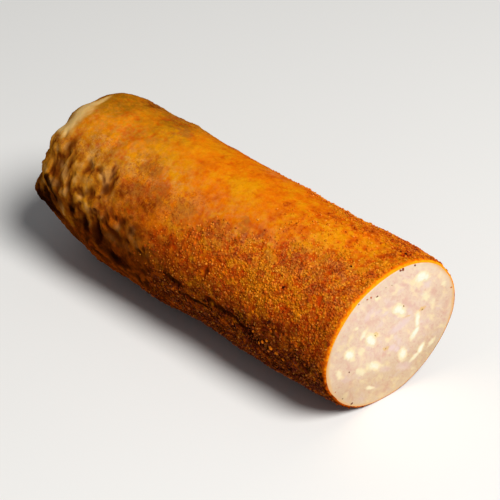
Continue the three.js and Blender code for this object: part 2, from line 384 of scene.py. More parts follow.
# %% Roughen the crust
DENTS = [
    (155, 133, 2, 5), (157, 145, 2, 5), (151, 143, 1.5, 5), (130, 132, 1.1, 2.4), (126.8, 140, 1.2, 3),
    (129, 146, 2.5, 2), (136, 153, 2, 2), (141, 155, 2, 1.5), (145, 171, 2, 5), (129, 178, 3, 4),
    (136, 176, 3, 4), (160, 178, 6, 5), (155, 175, 3, 5), (68, 160, 0.8, 2.5), (66, 180, 4, 0.7),
    (60, 182, 4, 1.0), (54, 181, 4, 0.8), (47, 184, 3, 0.6), (72, 187, 6, 0.7), (84, 179, 5, 0.8),
    (142, 140, 1.2, 4), (148, 156, 1.5, 4), (154, 160, 1.4, 5), (128.6, 135.5, 1.1, 2.8),
    (133, 166, 2.5, 1.5), (118, 172, 4, 2), (150, 30, 2, 6), (144, 10, 2, 6), (158, 340, 2, 6),
    (138, 350, 2, 5), (128, 20, 2, 5), (152, 300, 2, 7), (160, 50, 2, 5),
]
FOLD_ALONG = 3.2
FOLD_ROUND = 3.0
FOLD_ROUND_FAR = 4.6
GAP_DEPTH = 0.8 * MM
BUMP_HEIGHT = 0.4 * MM
CLUMP_SIZE = 4.0 * MM
CLUMP_HEIGHT = 1.1 * MM
GRIT_SIZE = 1.3 * MM
GRIT_HEIGHT = 0.7 * MM


def wrinkle_field(points, from_cut, around, where):
    """The shrunken casing's wrinkles, below 0 in a furrow and above 0 on a bump, and a slow tone."""
    field = np.zeros(len(points))
    tone = np.full(len(points), 0.5)
    far = smooth_step(from_cut, 138, 160)
    for index in np.flatnonzero(where > 0.01):
        round_mm = math.radians(around[index]) * cut_radius / MM
        along = from_cut[index] / FOLD_ALONG
        round_fold = noise.noise_vector(Vector((along, round_mm / FOLD_ROUND, 0)) * 0.35) * 0.9
        long_fold = noise.noise_vector(Vector((along, round_mm / FOLD_ROUND_FAR, 3)) * 0.35) * 0.9
        near_place = Vector((along, round_mm / FOLD_ROUND, 0)) + round_fold
        far_place = Vector((along, round_mm / FOLD_ROUND_FAR, 3)) + long_fold
        near_height = noise.noise(near_place) + 0.35 * noise.noise(near_place * 2.3)
        far_height = noise.noise(far_place) + 0.35 * noise.noise(far_place * 2.3)
        field[index] = near_height + (far_height - near_height) * far[index]
        tone[index] = 0.5 + noise.noise(near_place * 0.7 + Vector((0, 0, 5)))
    uneven = smooth_step(noise_at(points, 8 * MM)[:, 2], -0.4, 0.3)
    return where * (0.35 + 0.65 * uneven) * field, tone


def weigh(piece, name, weights):
    """Write a vertex group, which tells a modifier how strongly to act where."""
    group = piece.vertex_groups.new(name=name)
    for index, weight in enumerate(weights):
        group.add([index], float(weight), "REPLACE")


def roughen(piece, name, kind, size, height, group, **settings):
    """Push the surface in and out by a procedural texture with features of that size."""
    texture = bpy.data.textures.new(name, kind)
    texture.noise_scale = size
    for key, value in settings.items():
        setattr(texture, key, value)
    apply_modifier(
        piece, "DISPLACE", texture=texture, texture_coords="LOCAL", strength=height,
        mid_level=0.5, vertex_group=group,
    )


outside = smooth_step(crust_regions["edge"], 0.4, 2.0) * smooth_step(radius, 28, 30.5)
outside[from_cut > 100] = 1
drawn_from = 112 - 28 * smooth_step(below_top(around), 55, 80)
drawn_up = smooth_step(from_cut, drawn_from, drawn_from + 26) * smooth_step(below_top(around), 24, 50)
drawn_up = np.maximum(drawn_up, 0.6 * smooth_step(from_cut, 166, 174))
wrinkles, wrinkle_tone = wrinkle_field(before, from_cut, around, drawn_up)
dents = soft_spots(DENTS, from_cut, around, noise_at(before, 3 * MM) * 1.2)
gap_share = np.maximum(0.8 * smooth_step(-wrinkles, 0.02, 0.5), 0.85 * dents)
weigh(crust, "gaps", gap_share)
weigh(crust, "bumps", smooth_step(wrinkles, 0.0, 0.5))
weigh(crust, "rough", outside * np.clip(0.4 + 0.6 * np.maximum(crust_regions["grit"], drawn_up), 0, 1))
apply_modifier(crust, "DISPLACE", strength=-GAP_DEPTH, mid_level=0, vertex_group="gaps")
apply_modifier(crust, "DISPLACE", strength=BUMP_HEIGHT, mid_level=0, vertex_group="bumps")
roughen(crust, "clumps", "CLOUDS", CLUMP_SIZE, CLUMP_HEIGHT, "rough", noise_depth=2)
roughen(crust, "grit", "CLOUDS", GRIT_SIZE, GRIT_HEIGHT, "rough", noise_depth=1)
after = points_of(crust)
after[:, 2] = np.maximum(after[:, 2], 0)
crust.data.vertices.foreach_set("co", after.ravel())
crust.data.update()
relief = ((after - before) * facing).sum(1) / MM
print("relief mm, deepest to highest:", np.percentile(relief, (0, 10, 50, 90, 100)).round(2))
for name, share in crust_regions.items():
    note(crust, name, share)
note(crust, "relief", relief)
note(crust, "gap", gap_share)
note(crust, "drawn", drawn_up)
note(crust, "tone", wrinkle_tone)

# %% [markdown]
# ## Materials
# Every material is a few layers of noise, each at the size of something real. To keep the code
# short, one helper makes a node and plugs its inputs in, another mixes two colours, and a third
# makes a colour ramp.

# %% Define the material helpers
def new_material(name):
    material = bpy.data.materials.new(name)
    material.use_nodes = True
    tree = material.node_tree
    return material, tree, tree.nodes["Principled BSDF"]


def add(tree, kind, inputs=None, **settings):
    """A node with its settings and inputs: a socket is linked, anything else is a value."""
    made = tree.nodes.new("ShaderNode" + kind)
    for name, value in settings.items():
        setattr(made, name, value)
    for name, value in (inputs or {}).items():
        if isinstance(value, bpy.types.NodeSocket):
            tree.links.new(value, made.inputs[name])
        else:
            made.inputs[name].default_value = value
    return made


def mix(tree, share, first, second, blend="MIX"):
    """Two colours mixed by a share."""
    made = add(tree, "Mix", data_type="RGBA", blend_type=blend, clamp_factor=True)
    for socket, value in ((made.inputs[0], share), (made.inputs[6], first), (made.inputs[7], second)):
        if isinstance(value, bpy.types.NodeSocket):
            tree.links.new(value, socket)
        else:
            socket.default_value = value
    return made.outputs[2]


def ramp(tree, value, stops, interpolation="LINEAR"):
    """A colour ramp: stops are (place, colour)."""
    made = add(tree, "ValToRGB", {"Fac": value})
    made.color_ramp.interpolation = interpolation
    elements = made.color_ramp.elements
    while len(elements) < len(stops):
        elements.new(0.5)
    for element, (place, colour) in zip(elements, stops):
        element.position = place
        element.color = colour
    return made.outputs["Color"]


def calculate(tree, operation, first, second=0.0, third=0.0):
    made = add(tree, "Math", {0: first, 1: second, 2: third}, operation=operation)
    return made.outputs[0]


def times(tree, first, second):
    return calculate(tree, "MULTIPLY", first, second)


def raise_by(tree, start, value, weight):
    """The start plus the value times its weight."""
    return calculate(tree, "MULTIPLY_ADD", value, weight, start)


def fade(tree, value, low, high, to_low=0.0, to_high=1.0):
    """A value carried smoothly from one range to another."""
    inputs = {"Value": value, "From Min": low, "From Max": high, "To Min": to_low, "To Max": to_high}
    return add(tree, "MapRange", inputs, interpolation_type="SMOOTHSTEP").outputs["Result"]


def blend_in(tree, colour, new, region, pattern, *limits):
    """Mix a new colour in where a region and a pattern meet. The limits are those of fade."""
    return mix(tree, times(tree, region, fade(tree, pattern, *limits)), colour, new)


def noted(tree, name):
    return add(tree, "Attribute", attribute_name=name).outputs["Fac"]


def clouds(tree, where, size, detail=2.0, roughness=0.5, distortion=0.0):
    """Noise with features of about that size."""
    inputs = {"Vector": where, "Scale": 1 / size, "Detail": detail, "Roughness": roughness}
    inputs["Distortion"] = distortion
    return add(tree, "TexNoise", inputs).outputs["Fac"]


def cells(tree, where, size):
    """Random cells of about that size: a random grey for each, and the distance to its middle."""
    made = add(tree, "TexVoronoi", {"Vector": where, "Scale": 1 / size})
    grey = add(tree, "SeparateColor", {"Color": made.outputs["Color"]})
    return grey.outputs["Red"], made.outputs["Distance"]


# %% [markdown]
# ## The spice rub's colour
# The rub is a paste of paprika and curry in fat, which drifts between golden, orange and brick
# red over a centimetre or so, with grey-brown smudges and a pale band of painted sheen along each
# upper flank. Low on the flanks it is darkened to deep brown as painted shade. The crust and its
# loose grains are the same rub, so one function mixes it for both.

# %% Mix the rub
GOLDEN = screen(232, 148, 6)
ORANGE = screen(231, 116, 4)
RUST = screen(194, 80, 5)
BRICK = screen(134, 34, 3)
CURRY = screen(246, 156, 48)
PASTE_BROWN = screen(136, 39, 4)
CLAY = screen(186, 82, 12)
AMBER = screen(222, 120, 18)
DULL_OCHRE = screen(204, 134, 18)
BROWN_OCHRE = screen(134, 72, 18)
BUMP_OCHRE = screen(192, 124, 30)
OLIVE_YELLOW = screen(190, 130, 42)
PALE_OCHRE = screen(220, 166, 88)
OLIVE_OCHRE = screen(140, 93, 6)
# Painted sheen.
PALE_SHEEN = screen(222, 168, 104)
# The next two colours paint shade low on the flanks; the second also blotches the loose crumbs.
SHADE_RUST = screen(122, 44, 4)
SHADE_AND_BLOTCH_BROWN = screen(80, 21, 3)
DEEP_BROWN = screen(50, 13, 2)
# Darker crust and painted shade on the far lower flank, and painted shade in furrows low down.
SHADE_AND_CRUST_BROWN = screen(52, 20, 4)
DRAWN_BROWN = screen(92, 39, 5)
GOLD_BROWN = screen(152, 78, 7)
MAROON = screen(96, 23, 3)
UMBER = screen(132, 68, 10)
# Near black, for painted shade.
SHADE_BLACK = screen(22, 7, 2)
GAP_BROWN = screen(86, 32, 4)
PASTE_RED = screen(196, 58, 3)
SMUDGE = screen(166, 100, 34)
CASING_YELLOW = screen(202, 138, 46)
CASING_CREAM = screen(236, 194, 122)
EDGE_ORANGE = screen(244, 114, 4)
EDGE_YELLOW = screen(252, 166, 20)
# The cut edge's orange, darker low down as painted shade.
EDGE_SHADED_ORANGE = screen(206, 84, 4)

# How far each region shifts the rub, towards red where the number is above 0. The shift by low
# is part of the painted shade.
RUB_DRIFTS = {"red": 0.18, "golden": -0.2, "low": 0.08, "dull": -0.05}


def rub_colour(tree, where):
    """The rub as it drifts over the body, before its grain, and its mottle."""
    low = noted(tree, "low")
    grit = noted(tree, "grit")
    dull = noted(tree, "dull")
    waves = calculate(tree, "SUBTRACT", clouds(tree, where, 9 * MM, detail=3, roughness=0.6), 0.5)
    drift = raise_by(tree, 0.44, waves, raise_by(tree, 0.35, grit, 1.1))
    blots = calculate(tree, "SUBTRACT", clouds(tree, where, 3.2 * MM, detail=1), 0.5)
    drift = raise_by(tree, drift, blots, raise_by(tree, 0.1, grit, 1.6))
    for region, shift in RUB_DRIFTS.items():
        drift = raise_by(tree, drift, noted(tree, region), shift)
    colour = ramp(tree, drift, [(0.3, GOLDEN), (0.46, ORANGE), (0.6, RUST), (0.8, BRICK)])
    mottle = clouds(tree, where, 2.2 * MM, detail=3, roughness=0.65)
    colour = blend_in(tree, colour, DULL_OCHRE, dull, mottle, 0.35, 0.65, 0.2, 0.85)
    colour = blend_in(tree, colour, OLIVE_OCHRE, noted(tree, "olive"), mottle, 0.3, 0.7, 0.55, 1.0)
    far_off = times(tree, dull, calculate(tree, "ADD", noted(tree, "flank"), 0.7))
    umber = clouds(tree, where, 5.5 * MM, detail=3, roughness=0.6)
    colour = blend_in(tree, colour, UMBER, far_off, umber, 0.46, 0.62, 0.0, 0.3)
    # A pale band of painted sheen along each upper flank, with pale patches.
    sheen_noise = clouds(tree, where, 3 * MM, detail=5, roughness=0.75)
    colour = blend_in(tree, colour, PALE_SHEEN, noted(tree, "painted_sheen"), sheen_noise, 0.4, 0.66, 0.0, 0.25)
    wisp = raise_by(tree, noted(tree, "smudge"), mottle, 1.6)
    colour = mix(tree, fade(tree, wisp, 1.1, 1.9, 0.0, 0.75), colour, SMUDGE)
    return shaded_rub(tree, where, colour, mottle), mottle


def shaded_rub(tree, where, colour, mottle):
    """The rub with painted shade low on the flanks: red clots, darkening, a darker far flank, two tinges."""
    low = noted(tree, "low")
    colour = blend_in(tree, colour, BRICK, fade(tree, low, 0.0, 0.5), mottle, 0.42, 0.6, 0.0, 0.8)
    shade_depth = raise_by(tree, low, clouds(tree, where, 2.4 * MM, detail=1), 1.3)
    colour = mix(tree, fade(tree, shade_depth, 0.75, 1.7, 0.0, 0.96), colour, SHADE_AND_BLOTCH_BROWN)
    # The far lower flank is darkened, partly as darker crust and partly as painted shade.
    dark_flank_noise = clouds(tree, where, 5 * MM, detail=3)
    dark_crust_and_shade = noted(tree, "dark_crust_and_shade")
    colour = blend_in(tree, colour, SHADE_AND_CRUST_BROWN, dark_crust_and_shade, dark_flank_noise, 0.46, 0.62, 0.0, 0.75)
    tinge = clouds(tree, where, 4.5 * MM, detail=4, roughness=0.7)
    colour = blend_in(tree, colour, GOLD_BROWN, low, tinge, 0.48, 0.36, 0.0, 0.55)
    return blend_in(tree, colour, MAROON, low, tinge, 0.48, 0.62, 0.0, 0.7)


# %% [markdown]
# ## The crust's grain
# Each cell of ground spice has its own shade, and the paste between the cells is dark. How much
# of that shows follows the grit of the region: the top was smoothed by hand, so it is nearly
# even. Low on the flanks the cells and the paste are darkened as painted shade, with dark specks
# of painted shade between them.

# %% Mix the crust's grain
def grained(tree, where, colour, shade, middle):
    """The rub with its cells of spice: a shade for each cell, and the way to its middle."""
    low = noted(tree, "low")
    grit = noted(tree, "grit")
    grain = ramp(tree, shade, [(0.0, PASTE_BROWN), (0.25, CLAY), (0.55, AMBER), (0.9, CURRY)])
    # Low on the flanks the cells are darkened as painted shade.
    shaded_grain = ramp(tree, shade, [(0.0, SHADE_BLACK), (0.4, SHADE_AND_BLOTCH_BROWN), (0.7, SHADE_RUST), (0.95, AMBER)])
    grain = mix(tree, fade(tree, low, 0.2, 0.9), grain, shaded_grain)
    colour = mix(tree, raise_by(tree, 0.06, grit, 0.4), colour, grain)
    sand = fade(tree, clouds(tree, where, 0.7 * MM, detail=2, roughness=0.7), 0.5, 0.66, 0.0, 0.18)
    colour = mix(tree, sand, colour, CLAY)
    flecks = fade(tree, clouds(tree, where, 0.85 * MM, detail=2, roughness=0.6), 0.5, 0.66, 0.0, 0.9)
    between = calculate(tree, "MAXIMUM", fade(tree, middle, 0.3, 0.8, 0.0, 0.5), flecks)
    # Low on the flanks the paste between the cells is darker, as painted shade.
    paste = mix(tree, fade(tree, low, 0.4, 0.9), PASTE_BROWN, DEEP_BROWN)
    return mix(tree, times(tree, between, times(tree, grit, grit)), colour, paste)


def hollowed(tree, where, colour):
    """Dark specks of painted shade and red crinkles on the flanks, and by the relief red pits,
    darkened as painted shade in furrows and low down, and rises paler low down as painted highlight.
    """
    low = noted(tree, "low")
    relief = noted(tree, "relief")
    # Dark specks low on the flanks are painted shade, weaker on the darker far flank.
    beyond_dark_far_flank = fade(tree, noted(tree, "dark_crust_and_shade"), 0.0, 1.0, 1.0, 0.5)
    shaded_low = times(tree, fade(tree, low, 0.35, 0.8), beyond_dark_far_flank)
    holes = clouds(tree, where, 2.0 * MM, detail=3, roughness=0.65)
    colour = blend_in(tree, colour, SHADE_BLACK, shaded_low, holes, 0.51, 0.61, 0.0, 0.9)
    crinkles = clouds(tree, where, 1.5 * MM, detail=2, roughness=0.6, distortion=1.6)
    colour = blend_in(tree, colour, BRICK, noted(tree, "flank"), crinkles, 0.5, 0.62, 0.0, 0.5)
    # Pits hold red paste; in furrows and low on the flanks they are darkened as painted shade.
    furrowed = calculate(tree, "MAXIMUM", noted(tree, "gap"), noted(tree, "drawn"))
    pit = mix(tree, fade(tree, furrowed, 0.1, 0.8, 0.0, 0.7), PASTE_RED, GAP_BROWN)
    pit = mix(tree, fade(tree, low, 0.2, 0.7), pit, SHADE_BLACK)
    colour = mix(tree, fade(tree, relief, 0.05, -0.3, 0.0, 0.75), colour, pit)
    # Low on the flanks the rises are paler, as painted highlight.
    return blend_in(tree, colour, CLAY, low, relief, 0.0, 0.3, 0.0, 0.6)


# %% [markdown]
# ## The drawn-up casing and the cut edge
# At the far end the casing drew up, so its bumps show yellow and brown through the rub, with
# painted shade in the furrows between them and on the bumps low down. Spots under the far end's
# lobe and low on the flanks are darkened as painted shade, and one strip of casing is nearly bare.
# At the cut the casing's edge is orange fat with a yellow line, ragged where the rub begins and
# darker low down as painted shade.

# %% Mix the drawn-up casing and the cut edge
def drawn_up_casing(tree, where, colour, tone_shift):
    low = noted(tree, "low")
    bump_tone = raise_by(tree, noted(tree, "tone"), tone_shift, 1.2)
    tones = [(0.15, BROWN_OCHRE), (0.4, BUMP_OCHRE), (0.6, OLIVE_YELLOW), (0.95, PALE_OCHRE)]
    bumps = ramp(tree, bump_tone, tones)
    # Low on the flanks the bumps are darker, as painted shade.
    bumps = mix(tree, fade(tree, low, 0.1, 0.7), bumps, DRAWN_BROWN)
    drawn = times(tree, noted(tree, "drawn"), fade(tree, noted(tree, "red"), 0.0, 0.8, 0.6, 0.1))
    colour = mix(tree, drawn, colour, bumps)
    # The furrows and dents are darkened as painted shade, more so low on the flanks.
    gap_colour = mix(tree, fade(tree, low, 0.2, 0.9), GAP_BROWN, SHADE_AND_CRUST_BROWN)
    colour = mix(tree, fade(tree, noted(tree, "gap"), 0.0, 0.9, 0.0, 0.85), colour, gap_colour)
    # Low on the flanks dark specks are painted shade too.
    speckle = clouds(tree, where, 0.9 * MM, detail=3, roughness=0.7)
    drawn_low = times(tree, fade(tree, drawn, 0.05, 0.5), fade(tree, low, 0.5, 0.9))
    return blend_in(tree, colour, DEEP_BROWN, drawn_low, speckle, 0.5, 0.62, 0.0, 0.3)


def shade_spots_and_bare(tree, colour, mottle):
    # The spots of painted shade turn deep brown, then near black.
    blackened = times(tree, noted(tree, "shade_spots"), fade(tree, mottle, 0.3, 0.7, 0.75, 1.2))
    colour = mix(tree, fade(tree, blackened, 0.1, 0.65, 0.0, 0.9), colour, DEEP_BROWN)
    colour = mix(tree, fade(tree, blackened, 0.3, 1.1, 0.0, 0.9), colour, SHADE_BLACK)
    worn = raise_by(tree, noted(tree, "bare"), mottle, 0.45)
    colour = mix(tree, fade(tree, worn, 0.3, 0.8, 0.0, 0.8), colour, CASING_YELLOW)
    return mix(tree, fade(tree, worn, 0.5, 1.1, 0.0, 0.85), colour, CASING_CREAM)


def cut_edge(tree, colour, tone_shift):
    low = noted(tree, "low")
    ragged = raise_by(tree, noted(tree, "edge"), tone_shift, 3.5)
    ragged = raise_by(tree, ragged, low, 1.3)
    # Low down the orange edge is darker, as painted shade.
    edge_orange = mix(tree, low, EDGE_ORANGE, EDGE_SHADED_ORANGE)
    colour = mix(tree, fade(tree, ragged, 2.4, 0.8, 0.0, 0.85), colour, edge_orange)
    return mix(tree, fade(tree, ragged, 1.3, 0.2, 0.0, 0.85), colour, EDGE_YELLOW)


# %% [markdown]
# ## The crust's material
# The layers go over each other in the order in which they came to be: rub, grain, hollows, the
# drawn-up casing, the spots of painted shade, and last the knife's cut. A fine bump stands for
# powder that is too small to be geometry. Light passes a little way into the paste, and there is
# no gloss at all, because a sheen at a grazing angle would turn the brown crust grey.

# %% Put the crust's material together
def crust_material():
    material, tree, skin = new_material("spice_crust")
    where = add(tree, "TexCoord").outputs["Object"]
    grit = noted(tree, "grit")
    shade, middle = cells(tree, where, 0.95 * MM)
    colour, mottle = rub_colour(tree, where)
    tone_shift = calculate(tree, "SUBTRACT", mottle, 0.5)
    colour = grained(tree, where, colour, shade, middle)
    colour = hollowed(tree, where, colour)
    colour = drawn_up_casing(tree, where, colour, tone_shift)
    colour = shade_spots_and_bare(tree, colour, mottle)
    colour = cut_edge(tree, colour, tone_shift)
    tree.links.new(colour, skin.inputs["Base Color"])

    fine = clouds(tree, where, 0.5 * MM, detail=2, roughness=0.6)
    height = times(tree, fine, raise_by(tree, 0.4, grit, 0.6))
    height = raise_by(tree, height, times(tree, middle, grit), -0.8)
    bump = add(tree, "Bump", {"Height": height, "Strength": 0.7, "Distance": 0.4 * MM})
    tree.links.new(bump.outputs["Normal"], skin.inputs["Normal"])
    gloss = fade(tree, clouds(tree, where, 1.6 * MM), 0.35, 0.7, 0.45, 0.65)
    tree.links.new(gloss, skin.inputs["Roughness"])
    skin.inputs["Specular IOR Level"].default_value = 0.0
    skin.inputs["Subsurface Weight"].default_value = 0.06
    skin.inputs["Subsurface Radius"].default_value = (1.0, 0.3, 0.05)
    skin.inputs["Subsurface Scale"].default_value = 1.2 * MM
    return material


crust.data.materials.append(crust_material())
only(crust)
bpy.ops.object.shade_smooth()
print("crust material nodes:", len(crust.data.materials[0].node_tree.nodes))

# %% [markdown]
# ## The meat
# The cut face is fine pink meat, flat but not dead flat: a knife drags it, and the chunks stand
# up or sink by a tenth of a millimetre. It is a piece of its own that fills the seat in the
# crust. A grid filled into the rim's own outline gives it even squares right to the edge.

# %% Shape the meat
MEAT_GAP = -0.15 * MM
MEAT_DEPTH = 2.4 * MM
MEAT_FINENESS = 4

meat_share = 1 - (CASING + MEAT_GAP) / cut_radius
spokes = [point - cut_centre for point in rim]
spokes.sort(key=lambda spoke: math.atan2(spoke.dot(cut_up), spoke.dot(cut_across)))
outline = [cut_centre + spoke * meat_share for spoke in spokes]
meat = new_piece("cut_meat", outline, edges=[(i, (i + 1) % len(outline)) for i in range(len(outline))])
only(meat)
bpy.ops.object.mode_set(mode="EDIT")
bpy.ops.mesh.select_mode(type="EDGE")
bpy.ops.mesh.select_all(action="SELECT")
bpy.ops.mesh.fill_grid(span=len(outline) // 4, offset=len(outline) // 8)
bpy.ops.object.mode_set(mode="OBJECT")
apply_modifier(meat, "SUBSURF", subdivision_type="SIMPLE", levels=MEAT_FINENESS, render_levels=MEAT_FINENESS)
bpy.ops.object.mode_set(mode="EDIT")
bpy.ops.mesh.select_all(action="SELECT")
bpy.ops.mesh.normals_make_consistent(inside=False)
bpy.ops.object.mode_set(mode="OBJECT")
if meat.data.polygons[0].normal.dot(cut_normal) < 0:
    meat.data.flip_normals()
print("meat faces:", len(meat.data.polygons))

# %% [markdown]
# ## Chunks in the meat
# Each chunk is named by where it lies on the face, in millimetres across and up from the middle,
# by its length, width and turn, and by how white it is. Its edge wobbles, as cut fat and breast
# meat do. Faint lilac smears are lean streaks of another cut of meat.

# %% Note the chunks on the meat
WHITE_CHUNKS = [
    (12.6, 22.6, 6.6, 5.0, -20, 1.0), (15.2, 21.4, 4.2, 3.4, -30, 0.85), (2.1, 12.0, 5.8, 4.4, -40, 1.0),
    (4.2, 9.8, 4.6, 3.4, -48, 0.9), (13.1, 1.2, 8.6, 2.5, -86, 0.95), (12.3, -5.0, 6.8, 3.3, 56, 0.95),
    (-10.9, 3.4, 8.6, 3.9, -54, 1.0), (-15.1, 8.2, 6.0, 2.7, 62, 0.7), (-21.5, 1.6, 6.6, 3.7, -50, 1.0),
    (-15.4, 0.3, 5.5, 3.2, -58, 0.45), (-8.0, -11.0, 8.6, 3.6, -40, 0.75),
    (-15.2, -10.3, 6.8, 3.0, -50, 0.55), (-26.0, -5.4, 5.4, 2.7, -74, 0.6),
    (7.0, -13.0, 6.8, 4.1, -76, 0.9), (16.7, -15.2, 4.8, 2.6, 62, 1.0), (13.9, -17.9, 6.4, 2.8, 28, 0.65),
    (22.2, -15.2, 6.0, 3.0, 46, 0.5), (-9.2, -21.8, 5.6, 1.8, -32, 0.6), (16.2, 11.4, 7.2, 4.4, -62, 0.5),
    (20.4, 6.8, 4.6, 3.8, -50, 0.4), (25.3, 13.6, 4.4, 3.2, -60, 0.4), (-9.7, 23.2, 2.2, 1.6, -50, 0.7),
    (-18.9, 13.3, 2.2, 1.8, -40, 0.6), (12.4, -23.6, 5.0, 2.2, -30, 0.35),
]
LEAN_SMEARS = [
    (4.1, 3.0, 11.0, 4.6, 10, 0.9), (1.0, -6.6, 3.7, 3.1, -20, 1.0), (3.6, -8.8, 3.4, 2.4, -40, 0.9),
    (-4.4, 13.1, 3.1, 2.0, 1, 0.8), (-12.9, 17.2, 7.0, 3.1, 51, 0.6), (8, -20, 9, 4, -30, 0.5),
    (-2, -16, 8, 3, -30, 0.4),
]
STAINS = [
    (14.9, 5.9, 4.2, 2.6, 10, 1.0), (-8.6, 4.9, 3.6, 2.4, -50, 1.2), (-2.4, -5.0, 3.6, 3.0, -40, 0.9),
    (7.3, 6.0, 5.5, 1.1, -12, 0.8), (-14.0, 11.4, 3.4, 2.4, -60, 0.6), (17.6, 14.4, 5.0, 3.0, -50, 0.35),
    (-17.4, 9.6, 4.0, 3.0, -60, 0.4), (-24.0, 4.2, 4.0, 2.2, -60, 0.35), (4.6, 11.9, 1.8, 1.2, 0, 0.6),
]

meat_points = points_of(meat)
on_face = (meat_points - np.array(cut_centre)) / MM
across = on_face @ np.array(cut_across)
upward = on_face @ np.array(cut_up)
wobble = np.array([noise.fractal(Vector(point) * 700, 0.8, 2.0, 3) for point in meat_points])


def pieces_in_meat(chunks, soft):
    """How deep each point of the face lies in any of the chunks, from 0 to 1."""
    share = np.zeros(len(across))
    for side, rise, length, width, turned, strength in chunks:
        cos, sin = math.cos(math.radians(turned)), math.sin(math.radians(turned))
        along = ((across - side) * cos + (upward - rise) * sin) / (length / 2)
        aside = ((upward - rise) * cos - (across - side) * sin) / (width / 2)
        inside = 1.06 * np.hypot(along, aside) + 0.22 * wobble
        share = np.maximum(share, strength * smooth_step(-inside, -1 - soft, -1 + soft))
    return share


chunk_share = pieces_in_meat(WHITE_CHUNKS, 0.7)
note(meat, "chunk", chunk_share)
note(meat, "halo", pieces_in_meat(WHITE_CHUNKS, 0.99))
note(meat, "lean", pieces_in_meat(LEAN_SMEARS, 0.5))
note(meat, "stain", pieces_in_meat(STAINS, 0.9))
from_middle = np.hypot(across, upward)
note(meat, "out", from_middle)
note(meat, "lower", smooth_step(-upward, -4, 26))
note(meat, "darker_sides", smooth_step(np.abs(across), 13, 25) * smooth_step(-upward, -22, -8))
tan_rim_right = smooth_step(across - 0.5 * upward, -6, 14)
tan_rim_left = smooth_step(-across - 0.7 * upward, 16, 30)
note(meat, "tan_rim", np.maximum(tan_rim_right, tan_rim_left))
print("share of the face that is chunk:", round(float((chunk_share > 0.5).mean()), 3))

# %% [markdown]
# The meat's relief comes after the notes, so that the face can be measured while it is flat.
# Then its edge is rolled over and the piece is closed at the back, inside the crust.

# %% Give the meat its relief and close it
MEAT_ROLL = 0.35 * MM
flat_share = smooth_step(-from_middle, -(cut_radius - CASING) / MM, -(cut_radius - CASING) / MM + 1.5)
weigh(meat, "face", np.clip(flat_share, 0, 1))
weigh(meat, "chunks", chunk_share)
roughen(meat, "knife_drag", "CLOUDS", 5 * MM, 0.22 * MM, "face", noise_depth=2)
roughen(meat, "meat_grain", "CLOUDS", 0.9 * MM, 0.14 * MM, "face", noise_depth=1)
apply_modifier(meat, "DISPLACE", strength=0.1 * MM, mid_level=0, vertex_group="chunks")
only(meat)
bpy.ops.object.mode_set(mode="EDIT")
bpy.ops.mesh.select_mode(type="EDGE")
bpy.ops.mesh.select_all(action="DESELECT")
bpy.ops.mesh.select_non_manifold()
bpy.ops.mesh.extrude_edges_move()
bpy.ops.transform.translate(value=-cut_normal * MEAT_ROLL)
roll_share = 1 + 0.25 * MM / cut_radius
bpy.ops.transform.resize(value=(roll_share,) * 3, center_override=cut_centre)
bpy.ops.mesh.extrude_edges_move()
bpy.ops.transform.translate(value=-cut_normal * (MEAT_DEPTH - MEAT_ROLL))
bpy.ops.mesh.edge_face_add()
bpy.ops.object.mode_set(mode="OBJECT")
bpy.ops.object.shade_smooth_by_angle(angle=math.radians(50))
print("meat closed:", len(meat.data.polygons))

# %% [markdown]
# ## The meat's material
# Cooked chicken sausage is a pale pink-beige with a moist sheen. It scatters light a little way
# under the surface, which softens the chunks' edges. Fine streaks run the way the knife and the
# filling machine drew the meat. The face is yellower low down and a little darker at its sides,
# and part of its rim is tan.

# %% Mix the meat's material
MEAT_PINK = screen(224, 196, 172)
MEAT_ROSE = screen(215, 169, 152)
MEAT_BEIGE = screen(226, 203, 173)
MEAT_YELLOWING = screen(234, 230, 214)
STAIN_OCHRE = screen(222, 178, 96)
RIM_TAN = screen(222, 170, 104)
MEAT_CREAM = screen(238, 218, 176)
HALO_CREAM = screen(240, 224, 176)
CHUNK_CREAM = screen(230, 218, 182)
CHUNK_WHITE = screen(234, 234, 216)
LEAN_LILAC = screen(225, 200, 197)
STREAK_TURN = math.radians(-48)
MEAT_SIDE_TINT = screen(246, 242, 237)


